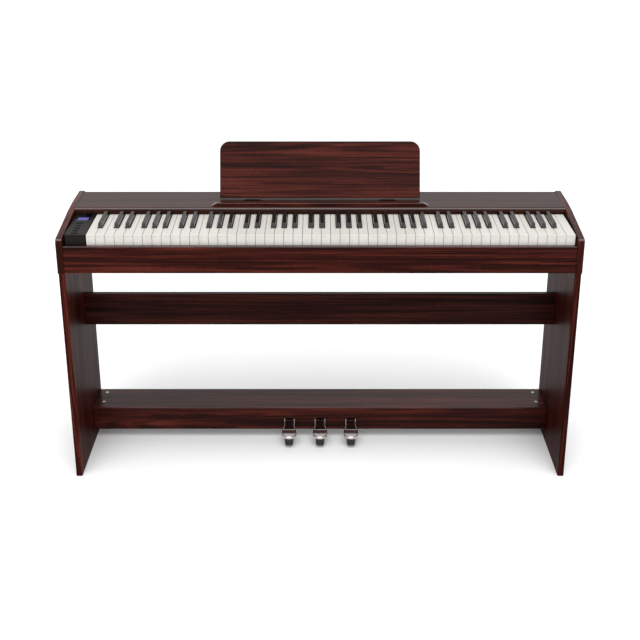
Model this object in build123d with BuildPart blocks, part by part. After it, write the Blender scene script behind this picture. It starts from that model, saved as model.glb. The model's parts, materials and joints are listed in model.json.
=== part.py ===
from build123d import *
from math import cos, radians, sin
import os

# Digital piano on a panel stand. Millimetres, +X to the player's right, +Y to the back, +Z up.
# The origin lies on the floor, at the centre of the footprint.
os.makedirs("parts", exist_ok=True)

# Case and stand
body_width = 1315.0
overall_depth = 320.0
board = 16.0
front_y = -overall_depth / 2
back_y = overall_depth / 2
panel_setback = 4.0
panel_inset = 1.0
stand_top = 590.0
cheek_inner_x = body_width / 2 - board
cheek_back_y = back_y - panel_setback
panel_outer_x = body_width / 2 - panel_inset
panel_inner_x = panel_outer_x - board
edge_round = 1.6

# Cheek outline
cheek_front_z = 681.3
cheek_break_y = 36.0
cheek_break_z = 705.6
cheek_back_z = 706.4
cheek_corner_round = 13.0
cheek_break_round = 900.0

# Lid, slip, bottom and back of the case
lid_top = 704.5
lid_front_y = 14.0
lid_back_y = 154.0
lid_nose_round = 8.0
slip_front_y = front_y + panel_setback
slip_thickness = 14.0
slip_top = 661.0
slip_round = 3.0
bottom_thickness = 12.0
bottom_top = stand_top + bottom_thickness
rear_panel_front_y = 140.0
lid_bottom = lid_top - board
slip_back_y = slip_front_y + slip_thickness

# Keyboard
white_pitch = 23.5
octave_whites = 7
keys_left_x = -584.3
key_gap = 0.5
white_front_y = -140.0
white_top = 686.6
white_bottom = 662.0
white_skirt_bottom = 655.0
white_skirt_length = 20.0
white_lip_height = 3.0
white_lip_depth = 0.8
white_edge_round = 0.5
black_front_y = -90.0
black_rear_y = 8.0
black_height = 12.4
black_slant = 4.2
black_base_width = 11.0
black_top_width = 9.4
black_edge_round = 1.2
black_bottom = 664.0
notch_front_gap = 1.5
notch_side_gap = 0.3
tail_top = 684.0
key_wall = 2.2
key_roof = 2.6
pivot_y = 56.0
pivot_z = 670.0
pivot_radius = 3.0
pivot_clearance = 0.06
key_rear_y = pivot_y + 9.0
hook_front_y = pivot_y - 12.0
hook_bottom = pivot_z - 1.5
plunger_y = -20.0
plunger_length = 8.0
plunger_bottom = 658.0

# Octave groups: semitones share a group's width evenly at the rear of the keys
lower_group_pitch = 3 * white_pitch / 5
upper_group_pitch = 4 * white_pitch / 7
note_names = ("c", "c_sharp", "d", "d_sharp", "e", "f", "f_sharp", "g", "g_sharp", "a", "a_sharp", "b")
white_index = {0: 0, 2: 1, 4: 2, 5: 3, 7: 4, 9: 5, 11: 6}
notes_per_octave = len(note_names)
first_note = 9
note_count = 88
middle_notes = range(4 * notes_per_octave, 5 * notes_per_octave)

# Key frame, pivot rod, felt and contact board
frame_left_x = keys_left_x + 0.3
frame_right_x = 639.5
frame_front_y = -134.0
frame_rear_y = 69.0
frame_sheet = 2.0
front_rail_y = -128.0
front_rail_depth = 24.0
front_rail_top = 640.0
rear_rail_depth = 16.0
rear_rail_top = 664.0
rod_ridge_width = 3.0
felt_thickness = 4.0
contact_board_front_y = -42.0
contact_board_rear_y = 2.0
contact_board_z = 648.0
board_sheet = 1.6
dome_height = 4.0
dome_base_radius = 4.5
dome_top_radius = 3.0
post_size = 6.0
post_count = 9

# Control panel
panel_left_x = -638.0
panel_right_x = -586.3
panel_front_y = white_front_y + 0.5
panel_top = 687.0
panel_bottom = 656.0
panel_wall = 2.5
panel_corner_round = 2.0
button_x = -615.5
button_ys = (-128.0, -109.5, -91.0, -72.5, -54.0)
button_length = 14.0
button_width = 5.0
button_proud = 0.9
button_gap = 0.3
button_flange = 1.2
stem_radius = 1.5
stem_bottom = 670.7
window_x = -613.5
window_y = -19.0
window_length = 36.0
window_width = 28.0
window_thickness = 1.2
aperture_margin = 3.0
knob_x = -602.5
knob_y = 1.0
knob_radius = 6.2
knob_height = 10.0
knob_base_gap = 0.6
knob_shaft_radius = 3.0
knob_shaft_bottom = 673.0
main_board_z = 664.0
switch_size = 6.0
switch_height = 3.6
encoder_size = 12.0
encoder_height = 6.4

# Speakers and connectors
speaker_x = 470.0
speaker_y = 104.0
speaker_length = 130.0
speaker_width = 60.0
speaker_rim = 8.0
grille_thickness = 1.5
grille_hole_radius = 1.8
grille_pitch = 7.0
grille_columns = 13
grille_rows = 5
basket_height = 20.0
basket_taper = 20.0
magnet_radius = 19.0
magnet_height = 15.0
jack_plate_length = 170.0
jack_plate_x = jack_plate_length / 2 - cheek_inner_x
jack_plate_z = 640.0
jack_plate_lap = 12.0
jack_plate_thickness = 2.0
phone_xs = (-614.0, -584.0)
phone_bore_radius = 3.25
phone_outer_radius = 5.0
phone_depth = 22.0
usb_x = -549.0
usb_width = 12.0
usb_height = 11.0
power_x = -512.0
power_bore_radius = 2.8
power_pin_radius = 1.0
power_depth = 10.0
socket_length = 28.0

# Music rest, ledge and hinges
rest_width = 534.0
rest_height = 154.5
rest_thickness = 12.0
rest_lean = 20.0
rest_corner_round = 26.0
rest_floor_gap = 3.8
rest_edge_round = 2.0
hinge_axis_y = 80.4
hinge_offset = 2.8
hinge_axis_z = lid_top + hinge_offset
hinge_xs = (-180.0, 180.0)
hinge_width = 42.0
knuckle_radius = 2.5
knuckle_gap = 0.3
hinge_pin_radius = 1.25
hinge_pin_clearance = 0.05
leaf_thickness = 1.2
leaf_length = 12.0
leaf_clear = 3.2
ledge_front_y = 30.0
ledge_depth = 15.0
ledge_height = 8.0
ledge_bottom_width = 571.0
ledge_top_width = 544.0

# Stand: stretcher, shelf and pedals
stretcher_front_y = 42.0
stretcher_bottom = 357.0
stretcher_height = 92.0
shelf_front_y = 44.0
shelf_back_y = 157.0
shelf_bottom = 29.5
shelf_top_z = 97.7
shelf_round = 3.0
cleat_width = 40.0
cleat_height = 21.7
shelf_screw_x = 618.0
shelf_screw_ys = (80.0, 136.0)
screw_radius = 2.0
screw_head_radius = 4.6
screw_head_height = 2.6
screw_length = 32.0
pedal_pitch = 87.0
pedal_names = ("left", "middle", "right")
slot_width = 30.0
slot_top = 62.5
slot_round = 6.0
slot_bevel = 2.4
pedal_pivot_y = 110.0
pedal_pivot_z = 58.0
shaft_radius = 4.0
shaft_clearance = 0.06
hub_radius = 8.0
hub_width = 20.0
pedal_stem_width = 24.0
pedal_slot_width = 26.0
pedal_pad_width = 41.0
pedal_pad_y = 1.5
pedal_tip_y = pedal_pad_y - pedal_pad_width / 2
pedal_pad_z = 39.5
pedal_pad_fall = 5.0
pedal_flank_slope = 0.12
pedal_under_z = 32.3
pedal_pad_start_y = 13.0
pedal_bar_top = 60.5
pedal_bar_bottom = 51.0
pedal_edge_round = 3.0
stop_width = 26.0
stop_depth = 24.0
stop_front_y = -16.0
stop_bottom = 8.0
stop_taper = 5.0
stop_bevel = 3.0
ear_thickness = 2.5
ear_gap = 17.0
ear_depth = 24.0
bracket_sheet = 2.0
spring_wire = 0.7
spring_pitch = 1.7
spring_turns = 3
spring_radius = 5.2

# Stand fasteners
bolt_radius = 3.0
bolt_head_radius = 6.5
bolt_head_height = 3.0
bolt_length = 48.0
hole_clearance = 0.1
cam_radius = 5.0
cam_depth = 12.0
cam_z = 558.0
cam_ys = (-86.0, 90.0)
stud_radius = 3.0
stud_top = 606.0
cam_slot_width = 1.6
cam_slot_depth = 1.5
# Stretcher and shelf bolts as (depth, height) on each side panel
bolt_points = (
    (stretcher_front_y + board / 2, stretcher_bottom + stretcher_height / 4),
    (stretcher_front_y + board / 2, stretcher_bottom + stretcher_height * 3 / 4),
    (shelf_front_y + board / 2, (shelf_bottom + shelf_top_z) / 2),
    (shelf_back_y - board * 3, shelf_top_z - board / 2),
)


def block(x_low, x_high, y_low, y_high, z_low, z_high, mode=Mode.ADD):
    """Box between two corners, in the part block that calls it."""
    centre = ((x_low + x_high) / 2, (y_low + y_high) / 2, (z_low + z_high) / 2)
    with Locations(centre):
        Box(x_high - x_low, y_high - y_low, z_high - z_low, mode=mode)


def front_plane(y):
    """Plane at depth y, drawn as seen from the front, extruding towards the player."""
    return Plane.XZ.offset(-y)


def rod_along_x(x_low, x_high, y, z, radius, mode=Mode.ADD):
    """Cylinder along X, in the part block that calls it."""
    with Locations(((x_low + x_high) / 2, y, z)):
        Cylinder(radius, x_high - x_low, rotation=(0, 90, 0), mode=mode)


def panel_bolt_holes(x_low, x_high, points, radius):
    """Round holes along X through a board end or side."""
    for y, z in points:
        rod_along_x(x_low, x_high, y, z, radius, mode=Mode.SUBTRACT)


# Case: cheeks, with a level back, a gently falling front and a rounded front corner
for cheek_name, cheek_left_x in (("left_cheek", -body_width / 2), ("right_cheek", cheek_inner_x)):
    with BuildPart() as cheek:
        with BuildSketch(Plane.YZ.offset(cheek_left_x)) as cheek_outline:
            with BuildLine():
                Polyline(
                    (front_y, stand_top),
                    (front_y, cheek_front_z),
                    (cheek_break_y, cheek_break_z),
                    (cheek_back_y, cheek_back_z),
                    (cheek_back_y, stand_top),
                    close=True,
                )
            make_face()
            corners = cheek_outline.vertices().sort_by(Axis.X)
            front_corner = corners.filter_by_position(Axis.Y, cheek_front_z - 1, cheek_front_z + 1)
            fillet(front_corner, radius=cheek_corner_round)
            break_corner = cheek_outline.vertices().filter_by_position(
                Axis.X, cheek_break_y - 1, cheek_break_y + 1
            )
            fillet(break_corner, radius=cheek_break_round)
        extrude(amount=board)
        fillet(cheek.faces().filter_by(Axis.X).edges(), radius=edge_round)
        stud_x = (panel_inner_x + board / 2) * (1 if cheek_left_x > 0 else -1)
        with Locations(*[(stud_x, y, stand_top) for y in cam_ys]):
            Cylinder(
                stud_radius + hole_clearance,
                stud_top - stand_top,
                align=(Align.CENTER, Align.CENTER, Align.MIN),
                mode=Mode.SUBTRACT,
            )
    cheek.part.label = cheek_name
    export_step(cheek.part, f"parts/{cheek_name}.step")

with BuildPart() as key_slip:
    block(-cheek_inner_x, cheek_inner_x, slip_front_y, slip_back_y, stand_top, slip_top)
    slip_long_edges = key_slip.edges().filter_by(Axis.X)
    fillet(slip_long_edges.group_by(Axis.Z)[-1], radius=slip_round)
key_slip.part.label = "key_slip"
export_step(key_slip.part, "parts/key_slip.step")

with BuildPart() as top_lid:
    block(-cheek_inner_x, cheek_inner_x, lid_front_y, lid_back_y, lid_bottom, lid_top)
    lid_long_edges = top_lid.edges().filter_by(Axis.X)
    fillet(lid_long_edges.group_by(Axis.Z)[-1].sort_by(Axis.Y)[0], radius=lid_nose_round)
    rear_edge = top_lid.edges().filter_by(Axis.X).group_by(Axis.Z)[-1].sort_by(Axis.Y)[-1]
    fillet(rear_edge, radius=edge_round)
top_lid.part.label = "top_lid"
export_step(top_lid.part, "parts/top_lid.step")

# Bottom board, with recessed speaker openings facing the floor
speaker_places = [(-speaker_x, speaker_y), (speaker_x, speaker_y)]
with BuildPart() as bottom_board:
    block(-cheek_inner_x, cheek_inner_x, slip_back_y, rear_panel_front_y, stand_top, bottom_top)
    with BuildSketch(Plane.XY.offset(stand_top)):
        with Locations(*speaker_places):
            SlotOverall(speaker_length - 2 * speaker_rim, speaker_width - 2 * speaker_rim)
    extrude(amount=bottom_thickness, mode=Mode.SUBTRACT)
    with BuildSketch(Plane.XY.offset(stand_top)):
        with Locations(*speaker_places):
            SlotOverall(speaker_length, speaker_width)
    extrude(amount=grille_thickness, mode=Mode.SUBTRACT)
bottom_board.part.label = "bottom_board"
export_step(bottom_board.part, "parts/bottom_board.step")

with BuildPart() as rear_panel:
    block(
        jack_plate_x + jack_plate_length / 2 - jack_plate_lap, cheek_inner_x, rear_panel_front_y,
        rear_panel_front_y + bottom_thickness, stand_top, lid_bottom,
    )
rear_panel.part.label = "rear_panel"
export_step(rear_panel.part, "parts/rear_panel.step")

# Key frame: a sheet tray with a hollow front rail, contact-board posts and a ridged rear rail
rear_rail_y = pivot_y - rear_rail_depth / 2
post_span = frame_right_x - frame_left_x - 2 * post_size
post_xs = [frame_left_x + post_size + post_span * step / (post_count - 1) for step in range(post_count)]
with BuildPart() as key_frame:
    block(frame_left_x, frame_right_x, frame_front_y, frame_rear_y, bottom_top, bottom_top + frame_sheet)
    for rail_y, rail_depth, rail_top in (
        (front_rail_y, front_rail_depth, front_rail_top),
        (rear_rail_y, rear_rail_depth, rear_rail_top),
    ):
        block(frame_left_x, frame_right_x, rail_y, rail_y + rail_depth, bottom_top, rail_top)
        block(
            frame_left_x, frame_right_x, rail_y + frame_sheet, rail_y + rail_depth - frame_sheet,
            bottom_top, rail_top - frame_sheet, mode=Mode.SUBTRACT,
        )
    block(
        frame_left_x, frame_right_x, pivot_y - rod_ridge_width / 2, pivot_y + rod_ridge_width / 2,
        rear_rail_top, pivot_z - pivot_radius,
    )
    for post_x in post_xs:
        for post_y in (contact_board_front_y + post_size, contact_board_rear_y - post_size):
            block(
                post_x - post_size / 2, post_x + post_size / 2, post_y - post_size / 2,
                post_y + post_size / 2, bottom_top, contact_board_z,
            )
key_frame.part.label = "key_frame"
export_step(key_frame.part, "parts/key_frame.step")

with BuildPart() as key_pivot_rod:
    rod_along_x(frame_left_x, frame_right_x, pivot_y, pivot_z, pivot_radius)
key_pivot_rod.part.label = "key_pivot_rod"
export_step(key_pivot_rod.part, "parts/key_pivot_rod.step")

with BuildPart() as key_felt:
    block(
        frame_left_x, frame_right_x, front_rail_y + frame_sheet,
        front_rail_y + front_rail_depth - frame_sheet, front_rail_top, front_rail_top + felt_thickness,
    )
key_felt.part.label = "key_felt"
export_step(key_felt.part, "parts/key_felt.step")


# Keyboard layout
def note_span(note):
    """Left and right X of a note's share of the keyboard at the rear of the keys."""
    octave, step = divmod(note, notes_per_octave)
    octave_x = keys_left_x + (octave * octave_whites - white_index[first_note]) * white_pitch
    if step < 5:
        low = octave_x + step * lower_group_pitch
        return low, low + lower_group_pitch
    low = octave_x + 3 * white_pitch + (step - 5) * upper_group_pitch
    return low, low + upper_group_pitch


def is_white(note):
    """Whether a note is a natural."""
    return note % notes_per_octave in white_index


def add_hook(low, high):
    """Rear end of a key: cut up to a hook that sits over the pivot rod."""
    block(low, high, hook_front_y, key_rear_y, white_skirt_bottom, hook_bottom, mode=Mode.SUBTRACT)
    rod_along_x(low, high, pivot_y, pivot_z, pivot_radius + pivot_clearance, mode=Mode.SUBTRACT)


def white_key(note):
    """One natural: a full-width head, a tail between the sharps, hollow from below."""
    octave, step = divmod(note, notes_per_octave)
    whites_below = octave * octave_whites + white_index[step] - white_index[first_note]
    head_low = keys_left_x + whites_below * white_pitch
    head_high = head_low + white_pitch
    tail_low, tail_high = note_span(note)
    first_of_all = note == first_note
    last_of_all = note == first_note + note_count - 1
    left_low = head_low + key_gap
    right_high = head_high - key_gap
    if not is_white(note - 1) and not first_of_all:
        left_low = tail_low + notch_side_gap
    if not is_white(note + 1) and not last_of_all:
        right_high = tail_high - notch_side_gap
    notch_y = black_front_y - notch_front_gap
    with BuildPart() as key:
        block(head_low + key_gap, head_high - key_gap, white_front_y, notch_y, white_bottom, white_top)
        block(
            head_low + key_gap, head_high - key_gap, white_front_y, white_front_y + white_skirt_length,
            white_skirt_bottom, white_bottom,
        )
        block(left_low, right_high, notch_y, key_rear_y, white_bottom, white_top)
        block(
            head_low, head_high, white_front_y, white_front_y + white_lip_depth,
            white_skirt_bottom, white_top - white_lip_height, mode=Mode.SUBTRACT,
        )
        top_edges = key.faces().sort_by(Axis.Z)[-1].edges()
        seen_edges = top_edges.filter_by_position(Axis.Y, white_front_y - 1, key_rear_y - 1)
        fillet(seen_edges, radius=white_edge_round)
        pocket_roof = white_top - key_roof
        block(
            head_low + key_gap + key_wall, head_high - key_gap - key_wall,
            white_front_y + white_lip_depth + key_wall, notch_y - key_wall,
            white_skirt_bottom, pocket_roof, mode=Mode.SUBTRACT,
        )
        for pocket_front, pocket_rear in (
            (notch_y, plunger_y - plunger_length / 2),
            (plunger_y + plunger_length / 2, hook_front_y - key_wall),
        ):
            block(
                left_low + key_wall, right_high - key_wall, pocket_front, pocket_rear,
                white_skirt_bottom, pocket_roof, mode=Mode.SUBTRACT,
            )
        add_plunger(tail_low, tail_high)
        add_hook(head_low, head_high)
    return key.part


def add_plunger(low, high):
    """Peg under a key, which presses its contact dome."""
    middle = (low + high) / 2
    block(
        middle - plunger_length / 4, middle + plunger_length / 4, plunger_y - plunger_length / 4,
        plunger_y + plunger_length / 4, plunger_bottom, pivot_z,
    )


def black_key(note):
    """One sharp: a tapered cap with a sloping front, on a body that runs back to the pivot."""
    low, high = note_span(note)
    centre_x = (low + high) / 2
    half = black_base_width / 2
    cap_length = black_rear_y - black_front_y
    cap_middle_y = (black_rear_y + black_front_y) / 2
    with BuildPart() as key:
        with BuildSketch(Plane.XY.offset(white_top)):
            with Locations((centre_x, cap_middle_y)):
                Rectangle(black_base_width, cap_length)
        with BuildSketch(Plane.XY.offset(white_top + black_height)):
            with Locations((centre_x, cap_middle_y + black_slant / 2)):
                Rectangle(black_top_width, cap_length - black_slant)
        loft()
        fillet(key.faces().sort_by(Axis.Z)[-1].edges(), radius=black_edge_round)
        block(centre_x - half, centre_x + half, black_front_y, black_rear_y, black_bottom, white_top)
        block(centre_x - half, centre_x + half, black_rear_y, key_rear_y, black_bottom, tail_top)
        add_plunger(low, high)
        add_hook(low, high)
    return key.part


all_notes = range(first_note, first_note + note_count)
outer_notes = [note for note in all_notes if note not in middle_notes]
for note in middle_notes:
    key_name = f"key_{note_names[note % notes_per_octave]}_4"
    with BuildPart() as middle_key:
        add(white_key(note) if is_white(note) else black_key(note))
    middle_key.part.label = key_name
    export_step(middle_key.part, f"parts/{key_name}.step")

white_solids = [white_key(note) for note in outer_notes if is_white(note)]
with BuildPart() as outer_white_keys:
    add(white_solids)
outer_white_keys.part.label = "outer_white_keys"
export_step(outer_white_keys.part, "parts/outer_white_keys.step")

black_solids = [black_key(note) for note in outer_notes if not is_white(note)]
with BuildPart() as outer_black_keys:
    add(black_solids)
outer_black_keys.part.label = "outer_black_keys"
export_step(outer_black_keys.part, "parts/outer_black_keys.step")

# Contact board under the keys, with one rubber dome for each key
contact_top = contact_board_z + board_sheet
dome_places = [(sum(note_span(note)) / 2, plunger_y, contact_top) for note in all_notes]
with BuildPart() as contact_board:
    block(
        frame_left_x, frame_right_x, contact_board_front_y, contact_board_rear_y,
        contact_board_z, contact_top,
    )
    with Locations(*dome_places):
        Cone(
            dome_base_radius, dome_top_radius, dome_height,
            align=(Align.CENTER, Align.CENTER, Align.MIN),
        )
contact_board.part.label = "contact_board"
export_step(contact_board.part, "parts/contact_board.step")

# Control panel, left of the keys: an open-bottomed moulding with a knob, a window and five buttons
window_seat = panel_top - window_thickness
with BuildPart() as control_panel:
    block(panel_left_x, panel_right_x, panel_front_y, lid_front_y, panel_bottom, panel_top)
    front_edges = control_panel.edges().group_by(Axis.Y)[0]
    fillet(front_edges.sort_by(Axis.Z)[1:], radius=panel_corner_round)
    block(
        panel_left_x + panel_wall, panel_right_x - panel_wall, panel_front_y + panel_wall,
        lid_front_y - panel_wall, panel_bottom, panel_top - panel_wall, mode=Mode.SUBTRACT,
    )
    with BuildSketch(Plane.XY.offset(window_seat)):
        with Locations((window_x, window_y)):
            Rectangle(window_length + key_gap, window_width + key_gap)
    extrude(amount=window_thickness, mode=Mode.SUBTRACT)
    with BuildSketch(Plane.XY.offset(panel_top - panel_wall)):
        with Locations((window_x, window_y)):
            Rectangle(window_length - 2 * aperture_margin, window_width - 2 * aperture_margin)
        with Locations(*[(button_x, y) for y in button_ys]):
            Rectangle(button_length + 2 * button_gap, button_width + 2 * button_gap)
        with Locations((knob_x, knob_y)):
            Circle(knob_shaft_radius + pivot_clearance)
    extrude(amount=panel_wall, mode=Mode.SUBTRACT)
control_panel.part.label = "control_panel"
export_step(control_panel.part, "parts/control_panel.step")

with BuildPart() as display_window:
    block(
        window_x - window_length / 2, window_x + window_length / 2, window_y - window_width / 2,
        window_y + window_width / 2, window_seat, panel_top - key_gap / 2,
    )
display_window.part.label = "display_window"
export_step(display_window.part, "parts/display_window.step")

with BuildPart() as volume_knob:
    knob_base = panel_top + knob_base_gap
    with Locations((knob_x, knob_y, knob_base)):
        Cylinder(knob_radius, knob_height, align=(Align.CENTER, Align.CENTER, Align.MIN))
    fillet(volume_knob.edges().sort_by(Axis.Z)[-1], radius=panel_corner_round)
    with Locations((knob_x, knob_y, knob_shaft_bottom)):
        Cylinder(
            knob_shaft_radius, knob_base - knob_shaft_bottom,
            align=(Align.CENTER, Align.CENTER, Align.MIN),
        )
volume_knob.part.label = "volume_knob"
export_step(volume_knob.part, "parts/volume_knob.step")

for number, button_y in enumerate(button_ys, start=1):
    under_panel = panel_top - panel_wall - button_gap
    with BuildPart() as button:
        block(
            button_x - button_length / 2, button_x + button_length / 2, button_y - button_width / 2,
            button_y + button_width / 2, under_panel, panel_top + button_proud,
        )
        fillet(button.edges().group_by(Axis.Z)[-1], radius=button_gap)
        block(
            button_x - button_length / 2 - 1, button_x + button_length / 2 + 1,
            button_y - button_width / 2 - 1, button_y + button_width / 2 + 1,
            under_panel - button_flange, under_panel,
        )
        with Locations((button_x, button_y, stem_bottom)):
            Cylinder(
                stem_radius, under_panel - button_flange - stem_bottom,
                align=(Align.CENTER, Align.CENTER, Align.MIN),
            )
    button.part.label = f"button_{number}"
    export_step(button.part, f"parts/button_{number}.step")

# Circuit board under the control panel, with a switch under each button and the knob's encoder
main_board_top = main_board_z + board_sheet
with BuildPart() as main_board:
    block(
        panel_left_x + panel_wall + 1, panel_right_x - panel_wall - 1, panel_front_y + panel_wall + 1,
        lid_front_y - panel_wall - 1, main_board_z, main_board_top,
    )
    for button_y in button_ys:
        block(
            button_x - switch_size / 2, button_x + switch_size / 2, button_y - switch_size / 2,
            button_y + switch_size / 2, main_board_top, main_board_top + switch_height,
        )
    block(
        knob_x - encoder_size / 2, knob_x + encoder_size / 2, knob_y - encoder_size / 2,
        knob_y + encoder_size / 2, main_board_top, main_board_top + encoder_height,
    )
main_board.part.label = "main_board"
export_step(main_board.part, "parts/main_board.step")

# Speakers in the rear of the case, facing the floor
with BuildPart() as speaker_grilles:
    with BuildSketch(Plane.XY.offset(stand_top)):
        with Locations(*speaker_places):
            SlotOverall(speaker_length - key_gap, speaker_width - key_gap)
        for speaker_place in speaker_places:
            with Locations(speaker_place):
                with GridLocations(grille_pitch, grille_pitch, grille_columns, grille_rows):
                    Circle(grille_hole_radius, mode=Mode.SUBTRACT)
    extrude(amount=grille_thickness)
speaker_grilles.part.label = "speaker_grilles"
export_step(speaker_grilles.part, "parts/speaker_grilles.step")

with BuildPart() as speakers:
    with BuildSketch(Plane.XY.offset(bottom_top)):
        with Locations(*speaker_places):
            SlotOverall(speaker_length, speaker_width)
            SlotOverall(
                speaker_length - 2 * speaker_rim, speaker_width - 2 * speaker_rim, mode=Mode.SUBTRACT
            )
    extrude(amount=speaker_rim / 2)
    with BuildSketch(Plane.XY.offset(bottom_top + speaker_rim / 2)):
        with Locations(*speaker_places):
            SlotOverall(speaker_length - speaker_rim, speaker_width - speaker_rim)
    extrude(amount=basket_height, taper=basket_taper)
    with BuildSketch(Plane.XY.offset(bottom_top + speaker_rim / 2 + basket_height)):
        with Locations(*speaker_places):
            Circle(magnet_radius)
    extrude(amount=magnet_height)
speakers.part.label = "speakers"
export_step(speakers.part, "parts/speakers.step")

# Connector plate and sockets on the rear panel
plate_front_y = rear_panel_front_y + bottom_thickness
plate_back_y = plate_front_y + jack_plate_thickness
with BuildPart() as jack_plate:
    with BuildSketch(front_plane(plate_back_y)):
        with Locations((jack_plate_x, (stand_top + lid_bottom) / 2)):
            Rectangle(jack_plate_length, lid_bottom - stand_top)
        with Locations(*[(x, jack_plate_z) for x in (*phone_xs, power_x)]):
            Circle(phone_outer_radius + hole_clearance, mode=Mode.SUBTRACT)
        with Locations((usb_x, jack_plate_z)):
            Rectangle(usb_width + key_gap, usb_height + key_gap, mode=Mode.SUBTRACT)
    extrude(amount=jack_plate_thickness)
jack_plate.part.label = "jack_plate"
export_step(jack_plate.part, "parts/jack_plate.step")

with BuildPart() as jack_sockets:
    with BuildSketch(front_plane(plate_back_y)):
        with Locations(*[(x, jack_plate_z) for x in (*phone_xs, power_x)]):
            Circle(phone_outer_radius)
        with Locations((usb_x, jack_plate_z)):
            Rectangle(usb_width, usb_height)
    extrude(amount=socket_length)
    with BuildSketch(front_plane(plate_back_y)):
        with Locations(*[(x, jack_plate_z) for x in phone_xs]):
            Circle(phone_bore_radius)
    extrude(amount=phone_depth, mode=Mode.SUBTRACT)
    with BuildSketch(front_plane(plate_back_y)):
        with Locations((power_x, jack_plate_z)):
            Circle(power_bore_radius)
            Circle(power_pin_radius, mode=Mode.SUBTRACT)
        with Locations((usb_x, jack_plate_z)):
            Rectangle(usb_width - key_wall, usb_height - key_wall)
            Rectangle(usb_width / 2, usb_height / 4, mode=Mode.SUBTRACT)
    extrude(amount=power_depth, mode=Mode.SUBTRACT)
jack_sockets.part.label = "jack_sockets"
export_step(jack_sockets.part, "parts/jack_sockets.step")

# Music rest: a board that leans back from two small hinges, and the ledge in front of it
lean = radians(rest_lean)
rest_plane = Plane(
    origin=(0, hinge_axis_y, hinge_axis_z), x_dir=(1, 0, 0), z_dir=(0, -cos(lean), sin(lean))
)
rest_front_plane = rest_plane.offset(-hinge_offset)
rest_cut_z = lid_top + rest_floor_gap
with BuildPart() as music_rest:
    with BuildSketch(rest_front_plane) as rest_outline:
        with Locations((0, rest_height / 2 - board / 2)):
            Rectangle(rest_width, rest_height + board)
        fillet(rest_outline.vertices().group_by(Axis.Y)[-1], radius=rest_corner_round)
    extrude(amount=-rest_thickness)
    split(bisect_by=Plane.XY.offset(rest_cut_z), keep=Keep.TOP)
    rest_faces = music_rest.faces().filter_by(Axis(rest_plane.origin, rest_plane.z_dir))
    rest_rim = rest_faces.edges().filter_by_position(Axis.Z, rest_cut_z + rest_thickness, 2 * lid_top)
    fillet(rest_rim, radius=rest_edge_round)
music_rest.part.label = "music_rest"
export_step(music_rest.part, "parts/music_rest.step")

with BuildPart() as rest_ledge:
    with BuildSketch(front_plane(ledge_front_y + ledge_depth)):
        with BuildLine():
            Polyline(
                (-ledge_bottom_width / 2, lid_top),
                (-ledge_top_width / 2, lid_top + ledge_height),
                (ledge_top_width / 2, lid_top + ledge_height),
                (ledge_bottom_width / 2, lid_top),
                close=True,
            )
        make_face()
    extrude(amount=ledge_depth)
    fillet(rest_ledge.edges().filter_by(Axis.X).group_by(Axis.Z)[-1], radius=edge_round)
rest_ledge.part.label = "rest_ledge"
export_step(rest_ledge.part, "parts/rest_ledge.step")

# Hinges: the fixed leaf holds the middle knuckle, the moving leaf the two outer ones
knuckle_width = hinge_width / 3
knuckle_bore = hinge_pin_radius + hinge_pin_clearance
with BuildPart() as hinge_fixed_leaves:
    for hinge_x in hinge_xs:
        low = hinge_x - knuckle_width / 2 + knuckle_gap
        high = hinge_x + knuckle_width / 2 - knuckle_gap
        rod_along_x(low, high, hinge_axis_y, hinge_axis_z, knuckle_radius)
        block(
            low, high, hinge_axis_y, hinge_axis_y + leaf_clear,
            lid_top, lid_top + leaf_thickness,
        )
        block(
            hinge_x - hinge_width / 2, hinge_x + hinge_width / 2, hinge_axis_y + leaf_clear,
            hinge_axis_y + leaf_length, lid_top, lid_top + leaf_thickness,
        )
        rod_along_x(low, high, hinge_axis_y, hinge_axis_z, knuckle_bore, mode=Mode.SUBTRACT)
hinge_fixed_leaves.part.label = "hinge_fixed_leaves"
export_step(hinge_fixed_leaves.part, "parts/hinge_fixed_leaves.step")

with BuildPart() as hinge_moving_leaves:
    for hinge_x in hinge_xs:
        outer_spans = (
            (hinge_x - hinge_width / 2, hinge_x - knuckle_width / 2 - knuckle_gap),
            (hinge_x + knuckle_width / 2 + knuckle_gap, hinge_x + hinge_width / 2),
        )
        for low, high in outer_spans:
            rod_along_x(low, high, hinge_axis_y, hinge_axis_z, knuckle_radius)
            block(
                low, high, hinge_axis_y, hinge_axis_y + leaf_clear,
                rest_cut_z - leaf_thickness, rest_cut_z,
            )
        block(
            hinge_x - hinge_width / 2, hinge_x + hinge_width / 2, hinge_axis_y + leaf_clear,
            hinge_axis_y + leaf_length, rest_cut_z - leaf_thickness, rest_cut_z,
        )
        for low, high in outer_spans:
            rod_along_x(low, high, hinge_axis_y, hinge_axis_z, knuckle_bore, mode=Mode.SUBTRACT)
hinge_moving_leaves.part.label = "hinge_moving_leaves"
export_step(hinge_moving_leaves.part, "parts/hinge_moving_leaves.step")

with BuildPart() as hinge_pins:
    for hinge_x in hinge_xs:
        rod_along_x(
            hinge_x - hinge_width / 2, hinge_x + hinge_width / 2,
            hinge_axis_y, hinge_axis_z, hinge_pin_radius,
        )
hinge_pins.part.label = "hinge_pins"
export_step(hinge_pins.part, "parts/hinge_pins.step")

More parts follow.
